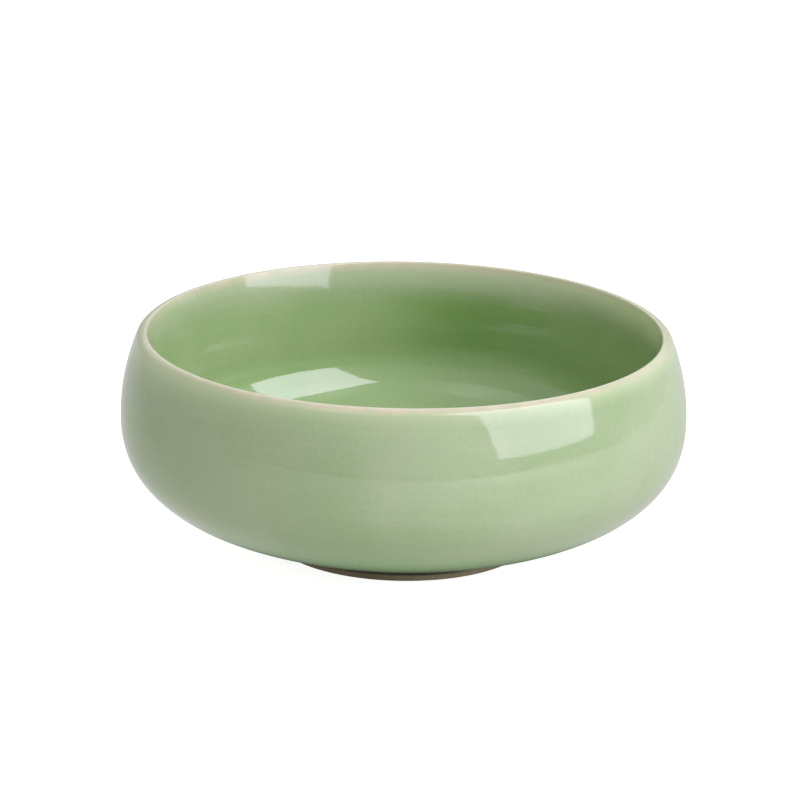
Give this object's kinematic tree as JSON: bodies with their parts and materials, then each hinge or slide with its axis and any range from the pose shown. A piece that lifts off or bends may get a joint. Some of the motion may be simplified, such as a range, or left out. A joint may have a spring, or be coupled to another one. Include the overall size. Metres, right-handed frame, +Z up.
{
  "type": "brush washer",
  "caption": "Low round stoneware brush washer: a full-bellied bowl with an inturned rounded lip, celadon glaze inside and out, and a bare clay foot ring.",
  "frame": {"origin": "on the table under the centre of the bowl, in the plane of the foot ring's resting face", "axes": "+Z up along the bowl's axis of revolution; +X and +Y are level and interchangeable"},
  "size_m": [0.15, 0.15, 0.058],
  "materials": {
    "fired_clay": "bare brown stoneware, dry and slightly gritty",
    "celadon_glaze": "soft green celadon glaze, glossy, with faint throwing rings",
    "pale_lip_glaze": "glaze drained thin to a cream line on the lip"
  },
  "bodies": {
    "root": {"clay_body": "fired_clay", "foot_ring": "fired_clay", "inner_glaze": "celadon_glaze", "lip_glaze": "pale_lip_glaze", "outer_glaze": "celadon_glaze", "base_glaze": "celadon_glaze"}
  },
  "joints": []
}
